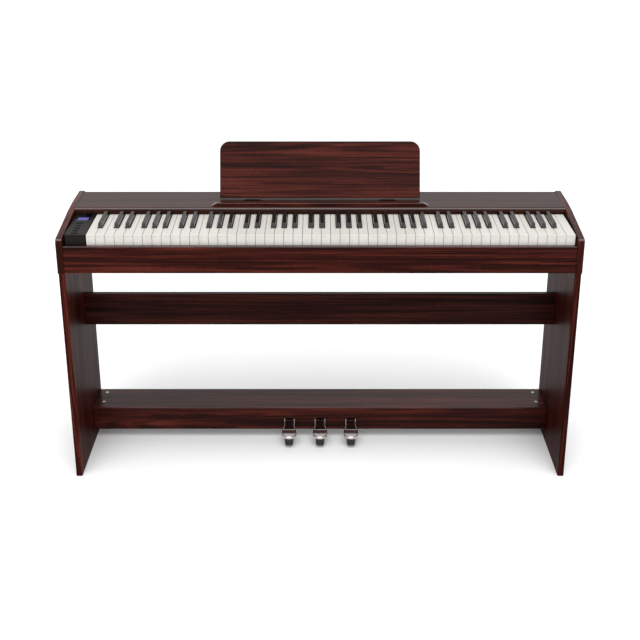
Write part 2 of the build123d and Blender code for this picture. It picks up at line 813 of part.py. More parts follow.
# Stand: side panels with bolt and cam holes
for panel_name, side in (("left_side_panel", -1), ("right_side_panel", 1)):
    outer_x = side * panel_outer_x
    inner_x = side * panel_inner_x
    low_x = min(outer_x, inner_x)
    with BuildPart() as side_panel:
        block(low_x, low_x + board, slip_front_y, back_y, 0, stand_top)
        fillet(side_panel.edges().filter_by(Axis.Z), radius=edge_round)
        panel_bolt_holes(low_x, low_x + board, bolt_points, bolt_radius + hole_clearance)
        recess_low = min(outer_x, outer_x - side * bolt_head_height)
        panel_bolt_holes(
            recess_low, recess_low + bolt_head_height, bolt_points, bolt_head_radius + hole_clearance
        )
        cam_low = min(inner_x, inner_x + side * cam_depth)
        panel_bolt_holes(
            cam_low, cam_low + cam_depth, [(y, cam_z) for y in cam_ys], cam_radius + hole_clearance
        )
        with Locations(*[(low_x + board / 2, y, cam_z) for y in cam_ys]):
            Cylinder(
                stud_radius + hole_clearance, stand_top - cam_z,
                align=(Align.CENTER, Align.CENTER, Align.MIN), mode=Mode.SUBTRACT,
            )
    side_panel.part.label = panel_name
    export_step(side_panel.part, f"parts/{panel_name}.step")

end_hole_depth = bolt_length - board
with BuildPart() as stretcher:
    block(
        -panel_inner_x, panel_inner_x, stretcher_front_y, stretcher_front_y + board,
        stretcher_bottom, stretcher_bottom + stretcher_height,
    )
    fillet(stretcher.edges().filter_by(Axis.X), radius=edge_round)
    for end_low in (-panel_inner_x, panel_inner_x - end_hole_depth):
        panel_bolt_holes(
            end_low, end_low + end_hole_depth, bolt_points[:2], bolt_radius + hole_clearance
        )
stretcher.part.label = "stretcher"
export_step(stretcher.part, "parts/stretcher.step")

# Shelf: a front board with three pedal slots, and a top board behind it
pedal_xs = [(number - 1) * pedal_pitch for number in range(len(pedal_names))]
with BuildPart() as pedal_front_board:
    block(-panel_inner_x, panel_inner_x, shelf_front_y, shelf_front_y + board, shelf_bottom, shelf_top_z)
    board_top_edges = pedal_front_board.edges().filter_by(Axis.X).group_by(Axis.Z)[-1]
    fillet(board_top_edges.sort_by(Axis.Y)[0], radius=shelf_round)
    for pedal_x in pedal_xs:
        with BuildSketch(front_plane(shelf_front_y + board)) as slot_outline:
            with Locations((pedal_x, slot_top / 2)):
                Rectangle(slot_width, slot_top)
            fillet(slot_outline.vertices().group_by(Axis.Y)[-1], radius=slot_round)
        extrude(amount=board, mode=Mode.SUBTRACT)
        with BuildSketch(front_plane(shelf_front_y)) as bevel_outline:
            with Locations((pedal_x, (slot_top + slot_bevel) / 2)):
                Rectangle(slot_width + 2 * slot_bevel, slot_top + slot_bevel)
            fillet(bevel_outline.vertices().group_by(Axis.Y)[-1], radius=slot_round + slot_bevel)
        extrude(amount=-slot_bevel, taper=45, mode=Mode.SUBTRACT)
    for end_low in (-panel_inner_x, panel_inner_x - end_hole_depth):
        panel_bolt_holes(
            end_low, end_low + end_hole_depth, bolt_points[2:3], bolt_radius + hole_clearance
        )
pedal_front_board.part.label = "pedal_front_board"
export_step(pedal_front_board.part, "parts/pedal_front_board.step")

shelf_underside = shelf_top_z - board
screw_places = [(x, y, shelf_top_z) for x in (-shelf_screw_x, shelf_screw_x) for y in shelf_screw_ys]
with BuildPart() as shelf_top:
    block(
        -panel_inner_x, panel_inner_x, shelf_front_y + board, shelf_back_y, shelf_underside, shelf_top_z
    )
    rear_top_edge = shelf_top.edges().filter_by(Axis.X).group_by(Axis.Z)[-1].sort_by(Axis.Y)[-1]
    fillet(rear_top_edge, radius=edge_round)
    with Locations(*screw_places):
        CounterSinkHole(screw_radius + hole_clearance, screw_head_radius, board)
    for end_low in (-panel_inner_x, panel_inner_x - end_hole_depth):
        panel_bolt_holes(
            end_low, end_low + end_hole_depth, bolt_points[3:], bolt_radius + hole_clearance
        )
shelf_top.part.label = "shelf_top"
export_step(shelf_top.part, "parts/shelf_top.step")

with BuildPart() as shelf_cleats:
    for cleat_low in (-panel_inner_x, panel_inner_x - cleat_width):
        block(
            cleat_low, cleat_low + cleat_width, shelf_front_y + board, shelf_back_y - edge_round,
            shelf_underside - cleat_height, shelf_underside,
        )
    with Locations(*[(x, y, shelf_underside) for x, y, _ in screw_places]):
        Hole(screw_radius + hole_clearance, screw_length - board + 1)
shelf_cleats.part.label = "shelf_cleats"
export_step(shelf_cleats.part, "parts/shelf_cleats.step")

with BuildPart() as shelf_screws:
    with Locations(*screw_places):
        Cone(
            screw_radius, screw_head_radius - hole_clearance, screw_head_height,
            align=(Align.CENTER, Align.CENTER, Align.MAX),
        )
        Cylinder(screw_radius, screw_length, align=(Align.CENTER, Align.CENTER, Align.MAX))
        Box(
            screw_head_radius, cam_slot_width / 2, screw_radius / 2,
            align=(Align.CENTER, Align.CENTER, Align.MAX), mode=Mode.SUBTRACT,
        )
        Box(
            cam_slot_width / 2, screw_head_radius, screw_radius / 2,
            align=(Align.CENTER, Align.CENTER, Align.MAX), mode=Mode.SUBTRACT,
        )
shelf_screws.part.label = "shelf_screws"
export_step(shelf_screws.part, "parts/shelf_screws.step")

# Pedal bracket under the shelf, with a pair of ears for each pedal, and the shaft through them
ear_low_z = pedal_pivot_z - hub_radius - shaft_radius
with BuildPart() as pedal_bracket:
    bracket_half = pedal_pitch + ear_gap + ear_depth
    block(
        -bracket_half, bracket_half, pedal_pivot_y - ear_depth, pedal_pivot_y + ear_depth,
        shelf_underside - bracket_sheet, shelf_underside,
    )
    for pedal_x in pedal_xs:
        for ear_x in (pedal_x - ear_gap, pedal_x + ear_gap):
            block(
                ear_x - ear_thickness / 2, ear_x + ear_thickness / 2, pedal_pivot_y - ear_depth / 2,
                pedal_pivot_y + ear_depth / 2, ear_low_z, shelf_underside,
            )
    rod_along_x(
        -bracket_half, bracket_half, pedal_pivot_y, pedal_pivot_z,
        shaft_radius + hole_clearance, mode=Mode.SUBTRACT,
    )
pedal_bracket.part.label = "pedal_bracket"
export_step(pedal_bracket.part, "parts/pedal_bracket.step")

shaft_half = pedal_pitch + ear_gap + 2 * ear_thickness
with BuildPart() as pedal_shaft:
    rod_along_x(-shaft_half, shaft_half, pedal_pivot_y, pedal_pivot_z, shaft_radius)
pedal_shaft.part.label = "pedal_shaft"
export_step(pedal_shaft.part, "parts/pedal_shaft.step")

# Return springs: turns of wire round the shaft, each side of every pedal hub
spring_start = hub_width / 2 + spring_wire + hinge_pin_clearance * 2
with BuildPart() as pedal_springs:
    for pedal_x in pedal_xs:
        for side in (-1, 1):
            for turn in range(spring_turns):
                ring_x = pedal_x + side * (spring_start + turn * spring_pitch)
                with BuildSketch(Plane.XY):
                    with Locations((ring_x, pedal_pivot_y + spring_radius)):
                        Circle(spring_wire)
                revolve(axis=Axis((0, pedal_pivot_y, 0), (1, 0, 0)))
pedal_springs.part = pedal_springs.part.moved(Location((0, 0, pedal_pivot_z)))
pedal_springs.part.label = "pedal_springs"
export_step(pedal_springs.part, "parts/pedal_springs.step")

# Pedals: a bar from the shaft through the slot, stepping down to a round-nosed pad
pad_half = pedal_pad_width / 2
for pedal_name, pedal_x in zip(pedal_names, pedal_xs):
    with BuildPart() as pedal:
        with BuildSketch(Plane.YZ.offset(pedal_x - pad_half)) as pedal_side:
            with BuildLine():
                Polyline(
                    (pedal_pivot_y, pedal_pivot_z + hub_radius / 2),
                    (shelf_front_y + board, pedal_bar_top),
                    (shelf_front_y - slot_bevel, pedal_bar_top - 1),
                    (pedal_pad_start_y, pedal_pad_z + pedal_pad_fall),
                    (pedal_tip_y, pedal_pad_z),
                    (pedal_tip_y, pedal_under_z),
                    (pedal_pad_start_y - board / 4, pedal_under_z),
                    (shelf_front_y, pedal_bar_bottom),
                    (pedal_pivot_y, pedal_pivot_z - hub_radius / 2),
                    close=True,
                )
            make_face()
            bends = pedal_side.vertices().filter_by_position(
                Axis.X, pedal_pad_start_y - 1, shelf_front_y + 1
            )
            fillet(bends, radius=hub_radius)
        extrude(amount=pedal_pad_width)
        with BuildSketch(Plane.XY):
            with BuildLine():
                nose = CenterArc((pedal_x, pedal_pad_y), pad_half, 180, 180)
                waist_y = shelf_front_y - slot_bevel
                right_flank = Spline(
                    nose @ 1,
                    (pedal_x + pedal_slot_width / 2, waist_y),
                    tangents=((0, 1), (-pedal_flank_slope, 1)),
                )
                Polyline(
                    right_flank @ 1,
                    (pedal_x + pedal_stem_width / 2, shelf_front_y + board),
                    (pedal_x + hub_width / 2, pedal_pivot_y - 2 * hub_radius),
                    (pedal_x + hub_width / 2, pedal_pivot_y),
                    (pedal_x - hub_width / 2, pedal_pivot_y),
                    (pedal_x - hub_width / 2, pedal_pivot_y - 2 * hub_radius),
                    (pedal_x - pedal_stem_width / 2, shelf_front_y + board),
                    (pedal_x - pedal_slot_width / 2, waist_y),
                )
                Spline(
                    (pedal_x - pedal_slot_width / 2, waist_y),
                    nose @ 0,
                    tangents=((-pedal_flank_slope, -1), (0, -1)),
                )
            make_face()
        extrude(amount=slot_top * 2, mode=Mode.INTERSECT)
        tip_edges = pedal.edges().filter_by_position(Axis.Y, 2 * pedal_tip_y, pedal_pad_y + 1)
        fillet(tip_edges.group_by(Axis.Z)[-1], radius=pedal_edge_round)
        rod_along_x(
            pedal_x - hub_width / 2, pedal_x + hub_width / 2, pedal_pivot_y, pedal_pivot_z, hub_radius
        )
        rod_along_x(
            pedal_x - hub_width / 2, pedal_x + hub_width / 2, pedal_pivot_y, pedal_pivot_z,
            shaft_radius + shaft_clearance, mode=Mode.SUBTRACT,
        )
    pedal.part.label = f"pedal_{pedal_name}"
    export_step(pedal.part, f"parts/pedal_{pedal_name}.step")

    with BuildPart() as pedal_stop:
        with BuildSketch(Plane.XY.offset(pedal_under_z)):
            with Locations((pedal_x, stop_front_y + stop_depth / 2)):
                RectangleRounded(stop_width, stop_depth, slot_round)
        extrude(amount=stop_bottom - pedal_under_z, taper=stop_taper)
        chamfer(pedal_stop.faces().sort_by(Axis.Z)[0].edges(), length=stop_bevel)
    pedal_stop.part.label = f"pedal_stop_{pedal_name}"
    export_step(pedal_stop.part, f"parts/pedal_stop_{pedal_name}.step")

# Stand fasteners: bolts through the side panels, cam locks and their studs
with BuildPart() as stand_bolts:
    for side in (-1, 1):
        outer_x = side * panel_outer_x
        head_low = min(outer_x, outer_x - side * bolt_head_height)
        shank_low = min(outer_x, outer_x - side * bolt_length)
        for y, z in bolt_points:
            rod_along_x(head_low, head_low + bolt_head_height, y, z, bolt_head_radius)
            rod_along_x(shank_low, shank_low + bolt_length, y, z, bolt_radius)
            socket_plane = Plane(origin=(outer_x, y, z), x_dir=(0, 1, 0), z_dir=(side, 0, 0))
            with BuildSketch(socket_plane):
                RegularPolygon(bolt_radius, 6)
            extrude(amount=-bolt_head_height / 2, mode=Mode.SUBTRACT)
stand_bolts.part.label = "stand_bolts"
export_step(stand_bolts.part, "parts/stand_bolts.step")

with BuildPart() as cam_fittings:
    for side in (-1, 1):
        inner_x = side * panel_inner_x
        cam_low = min(inner_x, inner_x + side * cam_depth)
        slot_low = min(inner_x, inner_x + side * cam_slot_depth)
        stud_x = side * (panel_inner_x + board / 2)
        for y in cam_ys:
            rod_along_x(cam_low, cam_low + cam_depth, y, cam_z, cam_radius)
            block(
                slot_low, slot_low + cam_slot_depth, y - cam_radius, y + cam_radius,
                cam_z - cam_slot_width / 2, cam_z + cam_slot_width / 2, mode=Mode.SUBTRACT,
            )
            stud_bottom = cam_z + cam_radius + hole_clearance
            with Locations((stud_x, y, stud_bottom)):
                Cylinder(
                    stud_radius, stud_top - hole_clearance - stud_bottom,
                    align=(Align.CENTER, Align.CENTER, Align.MIN),
                )
cam_fittings.part.label = "cam_fittings"
export_step(cam_fittings.part, "parts/cam_fittings.step")
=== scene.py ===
"""Digital piano on a panel stand: finishes, small parts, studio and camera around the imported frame."""
import json
import logging
import math
from dataclasses import dataclass
from enum import Enum
from typing import Callable, Iterable, Mapping, Sequence

import bmesh
import bpy
from mathutils import Matrix, Vector


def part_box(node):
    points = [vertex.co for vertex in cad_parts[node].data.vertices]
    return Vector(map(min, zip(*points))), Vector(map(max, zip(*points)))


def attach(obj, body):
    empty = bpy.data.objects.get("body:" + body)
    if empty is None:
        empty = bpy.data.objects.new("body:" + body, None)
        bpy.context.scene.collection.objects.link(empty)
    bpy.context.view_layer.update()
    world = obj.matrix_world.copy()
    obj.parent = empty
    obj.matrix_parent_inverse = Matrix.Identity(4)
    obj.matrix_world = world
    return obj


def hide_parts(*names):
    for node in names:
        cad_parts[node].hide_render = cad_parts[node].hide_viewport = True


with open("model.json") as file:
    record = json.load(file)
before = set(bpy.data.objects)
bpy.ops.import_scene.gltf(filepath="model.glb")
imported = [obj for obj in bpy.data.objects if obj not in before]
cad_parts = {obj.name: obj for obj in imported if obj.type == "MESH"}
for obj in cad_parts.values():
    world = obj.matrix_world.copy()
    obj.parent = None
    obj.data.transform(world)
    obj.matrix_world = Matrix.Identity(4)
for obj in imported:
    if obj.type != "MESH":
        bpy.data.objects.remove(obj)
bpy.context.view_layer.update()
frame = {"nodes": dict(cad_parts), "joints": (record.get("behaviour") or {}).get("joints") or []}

log = logging.getLogger("piano")
MM = 0.001
CURVE_ANGLE = math.radians(32)
Colour = tuple[float, float, float]


class Grain(Enum):
    """The way the figure of a laminate runs, as the share of a metre kept along each axis."""

    ALONG_X = (0.022, 1.0, 1.0)
    ALONG_Y = (1.0, 0.022, 1.0)
    ALONG_Z = (1.0, 1.0, 0.022)


class Facing(Enum):
    """The faces of a board whose edging has its own grain."""

    NONE = (0.0, 0.0, 0.0)
    FRONT_AND_BACK = (0.0, 1.0, 0.0)


# Shader writing


class Socket:
    """A shader socket that grows Math nodes when it is used in an expression."""

    def __init__(self, tree: "NodeTree", link: bpy.types.NodeSocket) -> None:
        """Wraps one output socket.

        Args:
            tree: the tree that it is in.
            link: the output socket.
        """
        self.tree = tree
        self.link = link

    def __add__(self, other: "Socket | float") -> "Socket":
        """Sum of two values."""
        return self.tree.math("ADD", self, other)

    def __radd__(self, other: float) -> "Socket":
        """Sum with a plain number first."""
        return self.tree.math("ADD", other, self)

    def __sub__(self, other: "Socket | float") -> "Socket":
        """Difference of two values."""
        return self.tree.math("SUBTRACT", self, other)

    def __rsub__(self, other: float) -> "Socket":
        """A plain number less this value."""
        return self.tree.math("SUBTRACT", other, self)

    def __mul__(self, other: "Socket | float") -> "Socket":
        """Product of two values."""
        return self.tree.math("MULTIPLY", self, other)

    def __rmul__(self, other: float) -> "Socket":
        """Product with a plain number first."""
        return self.tree.math("MULTIPLY", other, self)

    def __gt__(self, other: "Socket | float") -> "Socket":
        """One where this value is the greater, else zero."""
        return self.tree.math("GREATER_THAN", self, other)

    def __abs__(self) -> "Socket":
        """Size of this value without its sign."""
        return self.tree.math("ABSOLUTE", self)


class NodeTree:
    """An empty node tree and short ways to fill it."""

    def __init__(self, owner: bpy.types.Material | bpy.types.World) -> None:
        """Clears the owner's tree.

        Args:
            owner: the material or world.
        """
        owner.use_nodes = True
        self.nodes = owner.node_tree.nodes
        self.links = owner.node_tree.links
        self.nodes.clear()

    def feed(self, target: bpy.types.NodeSocket, value: object) -> None:
        """Sets or links one input socket.

        Args:
            target: the input socket.
            value: a Socket to link, a number, or a colour or vector.
        """
        if isinstance(value, Socket):
            self.links.new(value.link, target)
        elif target.type == "RGBA" and len(value) == 3:
            target.default_value = (*value, 1.0)
        else:
            target.default_value = value

    def add(
        self,
        kind: str,
        settings: Mapping[str, object] | None = None,
        sockets: Mapping[str | int, object] | None = None,
        out: str | int = 0,
    ) -> Socket:
        """Adds any node.

        Args:
            kind: the node's type.
            settings: its properties; "stops" fills a colour ramp.
            sockets: values or links of its inputs, by name or number.
            out: which output to hand back.

        Returns:
            The chosen output.
        """
        node = self.nodes.new(kind)
        for key, value in (settings or {}).items():
            if key == "stops":
                self.fill_ramp(node.color_ramp, value)
            else:
                setattr(node, key, value)
        for key, value in (sockets or {}).items():
            self.feed(node.inputs[key], value)
        return Socket(self, node.outputs[out])

    @staticmethod
    def fill_ramp(ramp: bpy.types.ColorRamp, stops: Sequence[tuple[float, Colour]]) -> None:
        """Gives a colour ramp its stops.

        Args:
            ramp: the ramp.
            stops: position and colour of each stop, in order.
        """
        while len(ramp.elements) < len(stops):
            ramp.elements.new(1.0)
        for element, (position, colour) in zip(ramp.elements, stops):
            element.position = position
            element.color = (*colour, 1.0)

    def math(self, operation: str, *values: "Socket | float") -> Socket:
        """One Math node on the given values."""
        return self.add("ShaderNodeMath", {"operation": operation}, dict(enumerate(values)))

    def place(self) -> Socket:
        """Object coordinates, in metres."""
        return self.add("ShaderNodeTexCoord", out="Object")

    def normal(self) -> Socket:
        """The surface's own direction, on the object's axes."""
        return self.add("ShaderNodeTexCoord", out="Normal")

    def stretch(self, vector: Socket, scale: Sequence[float]) -> Socket:
        """A vector with each axis scaled."""
        return self.add("ShaderNodeVectorMath", {"operation": "MULTIPLY"}, {0: vector, 1: tuple(scale)})

    def shift(self, vector: Socket, offset: Sequence[float] | Socket) -> Socket:
        """A vector moved by an offset."""
        value = offset if isinstance(offset, Socket) else tuple(offset)
        return self.add("ShaderNodeVectorMath", {"operation": "ADD"}, {0: vector, 1: value})

    def join(self, *parts: Socket | float) -> Socket:
        """Three numbers as a vector."""
        return self.add("ShaderNodeCombineXYZ", {}, dict(enumerate(parts)))

    def dot(self, vector: Socket, other: Sequence[float]) -> Socket:
        """Dot product with a fixed vector."""
        return self.add(
            "ShaderNodeVectorMath", {"operation": "DOT_PRODUCT"}, {0: vector, 1: tuple(other)}, "Value"
        )

    def soft_step(self, value: Socket, low: float, high: float) -> Socket:
        """Rises smoothly from 0 at low to 1 at high."""
        settings = {"interpolation_type": "SMOOTHSTEP"}
        return self.add("ShaderNodeMapRange", settings, {"Value": value, "From Min": low, "From Max": high})

    def mix_vectors(self, factor: Socket, first: Socket, second: Socket) -> Socket:
        """A vector that is first where factor is 0, and second where it is 1."""
        return self.add("ShaderNodeMix", {"data_type": "VECTOR"}, {0: factor, 4: first, 5: second}, 1)

    def mix_colours(self, factor: Socket | float, first: object, second: object) -> Socket:
        """A colour that is first where factor is 0, and second where it is 1."""
        return self.add("ShaderNodeMix", {"data_type": "RGBA"}, {0: factor, 6: first, 7: second}, 2)

    def noise(self, vector: Socket, scale: float, detail: float = 2.0, distortion: float = 0.0) -> Socket:
        """Noise from 0 to 1.

        Args:
            vector: where to read it.
            scale: features to the metre.
            detail: octaves.
            distortion: how far it swirls.

        Returns:
            The noise value.
        """
        sockets = {"Vector": vector, "Scale": scale, "Detail": detail, "Distortion": distortion}
        return self.add("ShaderNodeTexNoise", {}, sockets, "Fac")

    def ramp(self, value: Socket, stops: Sequence[tuple[float, Colour]]) -> Socket:
        """A value turned into a colour."""
        return self.add("ShaderNodeValToRGB", {"stops": stops}, {"Fac": value}, "Color")

    def bump(self, height: Socket, depth: float, strength: float = 1.0) -> Socket:
        """A normal bent by a height.

        Args:
            height: 0 to 1.
            depth: what 1 stands for, in metres.
            strength: how much of it shows.

        Returns:
            The normal.
        """
        return self.add(
            "ShaderNodeBump", {}, {"Height": height, "Distance": depth, "Strength": strength}, "Normal"
        )


class ShaderTree(NodeTree):
    """One material's nodes, with a Principled shader at the end."""

    def __init__(self, name: str) -> None:
        """Makes an empty material.

        Args:
            name: the material's name.
        """
        self.material = bpy.data.materials.new(name)
        super().__init__(self.material)
        self.shader = self.nodes.new("ShaderNodeBsdfPrincipled")
        output = self.nodes.new("ShaderNodeOutputMaterial")
        self.links.new(self.shader.outputs["BSDF"], output.inputs["Surface"])

    def finish(self, **inputs: object) -> bpy.types.Material:
        """Feeds the Principled shader.

        Args:
            inputs: its sockets, with underscores for spaces.

        Returns:
            The material.
        """
        for key, value in inputs.items():
            self.feed(self.shader.inputs[key.replace("_", " ")], value)
        return self.material


# Finishes


@dataclass(frozen=True)
class WoodLaminate:
    """Dark rosewood foil on board, with straight, slightly wandering figure."""

    name: str
    grain: Grain
    edging: Grain = Grain.ALONG_Z
    edged: Facing = Facing.NONE
    offset: tuple[float, float, float] = (0.0, 0.0, 0.0)
    dark: Colour = (0.010, 0.0022, 0.0016)
    middle: Colour = (0.026, 0.0046, 0.0030)
    red: Colour = (0.058, 0.0098, 0.0062)
    light: Colour = (0.090, 0.0190, 0.0120)
    ripple: float = 0.0016
    roughness: float = 0.30
    ior: float = 1.12
    flat_gloss: float = 0.45
    # A face counts as edging when its direction agrees with "edged" by more than this
    edging_limit: float = 0.7
    # Features to the metre in each layer of the figure
    ripple_scale: float = 75.0
    band_scale: float = 26.0
    flow_scale: float = 20.0
    streak_scale: float = 150.0
    fibre_scale: float = 620.0
    pore_scale: float = 1700.0
    # Radians of growth ring across the flow layer, and what each layer adds to the tone
    ring_turns: float = 120.0
    band_share: float = 0.50
    ring_share: float = 0.14
    streak_share: float = 0.62
    fibre_share: float = 0.24
    tone_drop: float = 0.24
    tone_stops: tuple[float, ...] = (0.36, 0.49, 0.60, 0.76)
    pore_limit: float = 0.64
    pore_depth: float = 0.4
    relief: float = 0.00008
    relief_strength: float = 0.35
    # Upward lean of a face, between which the lacquer starts to shine and then to be flat
    shine_lean: tuple[float, float] = (0.45, 0.75)
    flat_lean: tuple[float, float] = (0.86, 0.99)
    lacquer_roughness: float = 0.22
    roughness_spread: float = 0.10

    def build(self) -> bpy.types.Material:
        """Makes the material."""
        tree = ShaderTree(self.name)
        place = tree.shift(tree.place(), self.offset)
        board = tree.stretch(place, self.grain.value)
        if self.edged is not Facing.NONE:
            edge = tree.stretch(place, self.edging.value)
            on_edge = abs(tree.dot(tree.normal(), self.edged.value)) > self.edging_limit
            board = tree.mix_vectors(on_edge, board, edge)
        ripple = (tree.noise(place, self.ripple_scale, 1.0) - 0.5) * self.ripple
        board = tree.shift(board, tree.join(ripple, ripple, ripple))
        band = tree.noise(board, self.band_scale, 2.0, 0.3)
        flow = tree.noise(board, self.flow_scale, 1.0, 0.4)
        rings = tree.math("SINE", flow * self.ring_turns) * 0.5 + 0.5
        streak = tree.noise(board, self.streak_scale, 3.0)
        fibre = tree.noise(board, self.fibre_scale, 2.0)
        figure = band * self.band_share + rings * self.ring_share + streak * self.streak_share
        tone = figure + fibre * self.fibre_share - self.tone_drop
        colours = (self.dark, self.middle, self.red, self.light)
        colour = tree.ramp(tone, tuple(zip(self.tone_stops, colours)))
        pores = tree.noise(board, self.pore_scale, 1.0) > self.pore_limit
        colour = tree.mix_colours(pores * 0.5, colour, self.dark)
        height = streak * 0.5 + fibre * 0.3 - pores * self.pore_depth
        upward = tree.dot(tree.normal(), (0.0, 0.0, 1.0))
        polished = tree.soft_step(upward, *self.shine_lean)
        flat = tree.soft_step(upward, *self.flat_lean) * (1.0 - self.flat_gloss)
        return tree.finish(
            Base_Color=colour,
            Roughness=self.roughness + (1.0 - tone) * self.roughness_spread,
            Normal=tree.bump(height, self.relief, self.relief_strength),
            IOR=self.ior,
            Coat_Weight=polished * (1.0 - flat),
            Coat_Roughness=self.lacquer_roughness,
        )


@dataclass(frozen=True)
class KeyPlastic:
    """Moulded key tops, very slightly different from key to key."""

    name: str
    colour: Colour
    shade: Colour
    roughness: float
    ior: float
    pitch: float
    bump_depth: float = 0.00003
    cloud_scale: float = 45.0
    speck_scale: float = 1800.0
    own_share: float = 0.5
    cloud_share: float = 0.35
    roughness_spread: float = 0.08

    def build(self) -> bpy.types.Material:
        """Makes the material."""
        tree = ShaderTree(self.name)
        place = tree.place()
        across = tree.dot(place, (1.0 / self.pitch, 0.0, 0.0))
        number = tree.math("FLOOR", across + 0.5)
        own = tree.add("ShaderNodeTexWhiteNoise", {"noise_dimensions": "1D"}, {"W": number}, "Value")
        cloud = tree.noise(place, self.cloud_scale, 3.0)
        speck = tree.noise(place, self.speck_scale, 2.0)
        shaded = own * self.own_share + cloud * self.cloud_share
        return tree.finish(
            Base_Color=tree.mix_colours(shaded, self.colour, self.shade),
            Roughness=self.roughness + cloud * self.roughness_spread,
            Normal=tree.bump(speck, self.bump_depth, 0.25),
            IOR=self.ior,
        )


@dataclass(frozen=True)
class MouldedPlastic:
    """Fine spark-textured plastic or rubber."""

    name: str
    colour: Colour
    worn: Colour
    roughness: float = 0.45
    texture: float = 1500.0
    depth: float = 0.00006
    ior: float = 1.4
    cloud_scale: float = 30.0
    cloud_share: float = 0.6
    spark_share: float = 0.3
    roughness_spread: float = 0.16

    def build(self) -> bpy.types.Material:
        """Makes the material."""
        tree = ShaderTree(self.name)
        place = tree.place()
        spark = tree.noise(place, self.texture, 3.0)
        cloud = tree.noise(place, self.cloud_scale, 3.0)
        wear = cloud * self.cloud_share + spark * self.spark_share
        return tree.finish(
            Base_Color=tree.mix_colours(wear, self.colour, self.worn),
            Roughness=self.roughness + (spark - 0.5) * self.roughness_spread,
            Normal=tree.bump(spark, self.depth, 0.5),
            IOR=self.ior,
        )


@dataclass(frozen=True)
class Metal:
    """Plated, painted or polished metal with fine brushing along one axis."""

    name: str
    colour: Colour
    tarnish: Colour
    roughness: float
    brushing: tuple[float, float, float] = (0.05, 1.0, 1.0)
    spread: float = 0.10
    depth: float = 0.00002
    brush_scale: float = 2400.0
    cloud_scale: float = 40.0

    def build(self) -> bpy.types.Material:
        """Makes the material."""
        tree = ShaderTree(self.name)
        place = tree.place()
        brushed = tree.noise(tree.stretch(place, self.brushing), self.brush_scale, 2.0)
        cloud = tree.noise(place, self.cloud_scale, 4.0)
        colour = tree.mix_colours(cloud * 0.5, self.colour, self.tarnish)
        return tree.finish(
            Base_Color=colour,
            Metallic=1.0,
            Roughness=self.roughness + brushed * self.spread * 0.5 + cloud * self.spread * 0.5,
            Normal=tree.bump(brushed, self.depth, 0.2),
        )


@dataclass(frozen=True)
class Felt:
    """Pressed woollen felt with a fuzzy surface."""

    name: str
    colour: Colour
    fluff: Colour
    fibre_scale: float = 900.0
    fibre_swirl: float = 1.5
    nap: float = 0.0003

    def build(self) -> bpy.types.Material:
        """Makes the material."""
        tree = ShaderTree(self.name)
        fibre = tree.noise(tree.place(), self.fibre_scale, 5.0, self.fibre_swirl)
        return tree.finish(
            Base_Color=tree.mix_colours(fibre, self.colour, self.fluff),
            Roughness=0.85 + fibre * 0.1,
            Normal=tree.bump(fibre, self.nap, 0.8),
        )


@dataclass(frozen=True)
class CircuitBoard:
    """Green lacquered board with copper tracks under the lacquer."""

    name: str
    lacquer: Colour
    track: Colour
    cell_scale: float = 160.0
    tracks_to_cell: float = 40.0
    track_limit: float = 0.55
    track_height: float = 0.00004

    def build(self) -> bpy.types.Material:
        """Makes the material."""
        tree = ShaderTree(self.name)
        place = tree.place()
        sockets = {"Vector": place, "Scale": self.cell_scale}
        cells = tree.add("ShaderNodeTexVoronoi", {"distance": "MANHATTAN"}, sockets, "Distance")
        tracks = tree.math("SINE", cells * self.tracks_to_cell) > self.track_limit
        cloud = tree.noise(place, 60.0, 2.0)
        return tree.finish(
            Base_Color=tree.mix_colours(tracks * 0.8, self.lacquer, self.track),
            Roughness=0.28 + cloud * 0.1,
            Normal=tree.bump(tracks, self.track_height, 0.6),
        )


@dataclass(frozen=True)
class LitDisplay:
    """Backlit window: a glowing field inside a dark printed border, brighter across its middle."""

    name: str
    centre: tuple[float, float]
    lit_size: tuple[float, float]
    border: Colour = (0.006, 0.007, 0.016)
    glow: Colour = (0.085, 0.078, 0.29)
    bright: Colour = (0.17, 0.16, 0.46)
    strength: float = 0.34
    # How sharply the glow ends at the sides and at the front and back
    side_edge: float = 6.0
    front_edge: float = 5.0
    edge_blend: float = 0.4
    band_place: float = 0.1
    band_edge: float = 1.6
    cloud_scale: float = 130.0

    def build(self) -> bpy.types.Material:
        """Makes the material."""
        tree = ShaderTree(self.name)
        place = tree.shift(tree.place(), (-self.centre[0], -self.centre[1], 0.0))
        across = abs(tree.dot(place, (2.0 / self.lit_size[0], 0.0, 0.0)))
        along = tree.dot(place, (0.0, 2.0 / self.lit_size[1], 0.0))
        edge_x = tree.math("SMOOTH_MIN", (1.0 - across) * self.side_edge, 1.0, self.edge_blend)
        edge_y = tree.math("SMOOTH_MIN", (1.0 - abs(along)) * self.front_edge, 1.0, self.edge_blend)
        lit = tree.math("MAXIMUM", tree.math("MINIMUM", edge_x, edge_y), 0.0)
        cloud = tree.noise(place, self.cloud_scale, 2.0)
        band = tree.math("MAXIMUM", 1.0 - abs(along + self.band_place) * self.band_edge, 0.0)
        colour = tree.mix_colours(band * 0.6 + cloud * 0.3, self.glow, self.bright)
        shown = tree.mix_colours(lit, self.border, colour)
        return tree.finish(
            Base_Color=tree.mix_colours(lit, self.border, self.glow),
            Emission_Color=shown,
            Emission_Strength=self.strength,
            Roughness=0.12 + cloud * 0.05,
            IOR=1.45,
        )


@dataclass(frozen=True)
class PaleFloor:
    """Seamless pale studio floor."""

    name: str = "studio_floor"
    colour: Colour = (0.90, 0.90, 0.90)

    def build(self) -> bpy.types.Material:
        """Makes the material."""
        tree = ShaderTree(self.name)
        return tree.finish(Base_Color=self.colour, Roughness=0.9, IOR=1.2)


